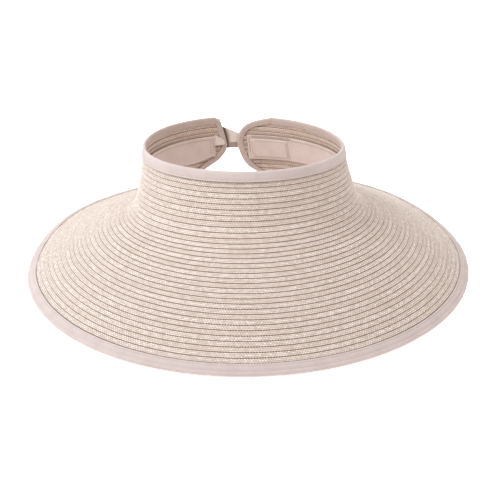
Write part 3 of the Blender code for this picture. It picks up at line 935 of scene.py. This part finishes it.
def strap(material, thread):
    """Closure strap, sewn to the left end and pressed on the right one, with its stitches."""
    columns = 29
    station = np.linspace(STRAP_BASE_END, STRAP_TIP, 150)
    upper, lower = strap_outline(station)
    share = np.linspace(0.0, 1.0, columns)[None, :]
    fold_at = ((STRAP_CREASE - upper) / (lower - upper))[:, None]
    height, thickness, folded = strap_surface(station[:, None], share, fold_at)
    made, degrees, distances = sheet_piece("strap_fabric", (station, upper), (station, lower), height,
                                           thickness, material, columns, {"folded": folded})
    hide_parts("closure_strap", "strap_base")
    bend = 1.4
    bend_distance = 0.019
    tuple(raised(STRAP_HINGE + bend, bend_distance, STRAP_HIGH))
    tuple(raised(STRAP_HINGE - bend, bend_distance, STRAP_HIGH))
    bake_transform(made)
    flat_size(degrees, distances)
    cut_area(degrees, distances)
    inset = 0.0016
    far = np.linspace(189.0, STRAP_TIP + 3.0, 120)
    for title, line in (("strap_top_stitches", STRAP_BOTTOM - STRAP_WIDTH + inset),
                        ("strap_bottom_stitches", STRAP_BOTTOM - inset)):
        line_stitches(title, far, np.full_like(far, line), STRAP_HIGH + 0.0005, False, thread, STRAP_PITCH,
                      body="strap")
    root_inset = 0.002
    down = np.linspace(STRAP_BOTTOM - STRAP_ROOT_WIDTH + root_inset, STRAP_BOTTOM - root_inset, 60)
    for number, place_at in enumerate((195.0, 202.4)):
        line_stitches(f"strap_root_stitches_{number + 1}", np.full_like(down, place_at), down,
                      STRAP_LOW + 0.0005, False, thread, STRAP_ROOT_PITCH)


def strap_tail(material):
    """Three-cornered tab of the strap inside the left end."""
    steps = 40
    station = np.linspace(TAIL_START, TAIL_END, steps)
    away = (station - TAIL_START) / (TAIL_END - TAIL_START)
    top = TAIL_TOP - TAIL_SLOPE * away ** 0.7
    bottom = np.full(steps, TAIL_BOTTOM)
    columns = 13
    share = np.linspace(0.0, 1.0, columns)[None, :]
    height = TAIL_HEIGHT + 0.0004 * np.sin(math.pi * share) * away[:, None]
    thickness = 0.0005
    made, degrees, distances = sheet_piece("tail_of_strap", (station, top), (station, bottom), height,
                                           thickness, material, columns,
                                           {"folded": np.zeros((steps, columns))})
    dress(made, "binding_tape", ["strap_tail"])
    width, length = flat_size(degrees, distances)
    max(width, 0.01)
    cut_area(degrees, distances)


def tapes():
    """Loop tape on the right end and hook tape on the strap, with its rows of hooks."""
    steps = 30
    columns = 13
    degrees = np.linspace(TAPE_START, TAPE_END, steps)
    upper = (degrees, np.full(steps, TAPE_TOP))
    lower = (degrees, np.full(steps, TAPE_BOTTOM))
    loop_nylon = nylon_material("loop_tape_nylon", (0.62, 0.52, 0.46), (0.40, 0.31, 0.26), 2600.0, 0.0003)
    hook_nylon = nylon_material("hook_tape_nylon", (0.60, 0.50, 0.44), (0.44, 0.35, 0.30), 1800.0, 0.0001)
    for name, node, slot, height, thickness, body, material in (
            ("tape_of_loops", "loop_tape", "loop_tape_nylon", 0.0014, 0.0005, "visor", loop_nylon),
            ("tape_of_hooks", "hook_tape", "hook_tape_nylon", 0.00265, 0.0004, "strap", hook_nylon)):
        level = np.array([[height]])
        made, grid, drops = sheet_piece(name, upper, lower, level, thickness, material, columns)
        dress(made, slot, [node], body)
        flat_size(grid, drops)
    border = 0.001
    end_border = 0.6
    across, along = np.meshgrid(np.linspace(TAPE_TOP + border, TAPE_BOTTOM - border, 9),
                                np.linspace(TAPE_START + end_border, TAPE_END - end_border, 17))
    reach = 0.32
    heads = raised(along.ravel(), across.ravel(), 0.00248)
    feet = raised(along.ravel() + reach, across.ravel(), 0.00222)
    stitches("hooks", heads, feet, -outward(along.ravel(), across.ravel()), hook_nylon, body="strap",
             slot="hook_tape_nylon")


def wire():
    """The shaping wire stays as the CAD node, in its own material, inside the fold of the edge binding."""
    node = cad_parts["brim_wire"]
    node.data.materials.clear()
    node.data.materials.append(wire_material())


def stage():
    """Pale floor and soft studio light from the left and above, with an even pale surround."""
    bpy.ops.mesh.primitive_plane_add(size=FLOOR_SIZE, location=(0.0, 0.0, FLOOR_HEIGHT))
    floor = bpy.context.object
    floor.name = "floor"
    made, _, shader = new_material("floor", 0.9, 0.0)
    shader.inputs["Base Color"].default_value = FLOOR_COLOUR
    shader.inputs["Emission Color"].default_value = (1.0, 1.0, 1.0, 1.0)
    shader.inputs["Emission Strength"].default_value = FLOOR_GLOW
    floor.data.materials.append(made)
    world = bpy.data.worlds.new("studio")
    bpy.context.scene.world = world
    world.use_nodes = True
    background = world.node_tree.nodes["Background"]
    background.inputs["Color"].default_value = SURROUND_COLOUR
    background.inputs["Strength"].default_value = SURROUND_STRENGTH
    for name, place_at, size, power, colour in LIGHTS:
        light = bpy.data.lights.new(name, "AREA")
        light.size = size
        light.energy = power
        light.color = colour
        lamp = bpy.data.objects.new(name, light)
        lamp.location = place_at
        aim = Vector(LIGHT_TARGET) - lamp.location
        lamp.rotation_euler = aim.to_track_quat("-Z", "Y").to_euler()
        bpy.context.collection.objects.link(lamp)


def camera():
    """Camera in front of the visor and above it, turned a little to its left."""
    level = math.cos(CAMERA_ELEVATION)
    forward = Vector((math.sin(CAMERA_AZIMUTH) * level, math.cos(CAMERA_AZIMUTH) * level,
                      -math.sin(CAMERA_ELEVATION)))
    right = Vector((math.cos(CAMERA_AZIMUTH), -math.sin(CAMERA_AZIMUTH), 0.0))
    up = right.cross(forward)
    target = right * CAMERA_RIGHT + up * CAMERA_UP + CAMERA_CENTRE
    data = bpy.data.cameras.new("camera")
    data.sensor_width = 36.0
    data.lens = 0.5 * data.sensor_width / math.tan(CAMERA_HALF_ANGLE)
    data.clip_start = 0.05
    data.clip_end = 50.0
    made = bpy.data.objects.new("camera", data)
    facing = Matrix((right, up, -forward)).transposed().to_4x4()
    made.matrix_world = Matrix.Translation(target - forward * CAMERA_DISTANCE) @ facing
    bpy.context.collection.objects.link(made)
    bpy.context.scene.camera = made
    bpy.context.scene.view_settings.view_transform = "Standard"


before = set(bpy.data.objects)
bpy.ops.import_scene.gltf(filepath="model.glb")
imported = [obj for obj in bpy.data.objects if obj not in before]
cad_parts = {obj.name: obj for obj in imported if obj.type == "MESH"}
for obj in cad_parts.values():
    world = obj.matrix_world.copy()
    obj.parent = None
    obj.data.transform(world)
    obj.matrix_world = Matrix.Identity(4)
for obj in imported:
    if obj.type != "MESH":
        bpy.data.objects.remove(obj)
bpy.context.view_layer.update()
# The binding's under share is the painted shade on its leg inside the visor.
binding_fabric = fabric_material("binding_tape", (0.59, 0.495, 0.475), (0.42, 0.335, 0.315), 1100.0,
                                 0.00010, under=0.34)
band_fabric = fabric_material("sweatband_fabric", (0.645, 0.52, 0.485), (0.45, 0.33, 0.285), 900.0,
                              0.00010, sheen=0.2, rib=-0.5)
strap_fabric = strap_material()
sewing_thread = thread_material("thread", (0.50, 0.40, 0.35), (0.34, 0.25, 0.20))
band_thread = thread_material("band_thread", (0.30, 0.19, 0.135), (0.19, 0.11, 0.07))
braid()
edge_binding(binding_fabric, sewing_thread)
rim_binding(binding_fabric, sewing_thread)
sweatband(band_fabric, band_thread)
size_patch(band_fabric, band_thread)
strap(strap_fabric, sewing_thread)
strap_tail(strap_fabric)
tapes()
wire()
stage()
camera()
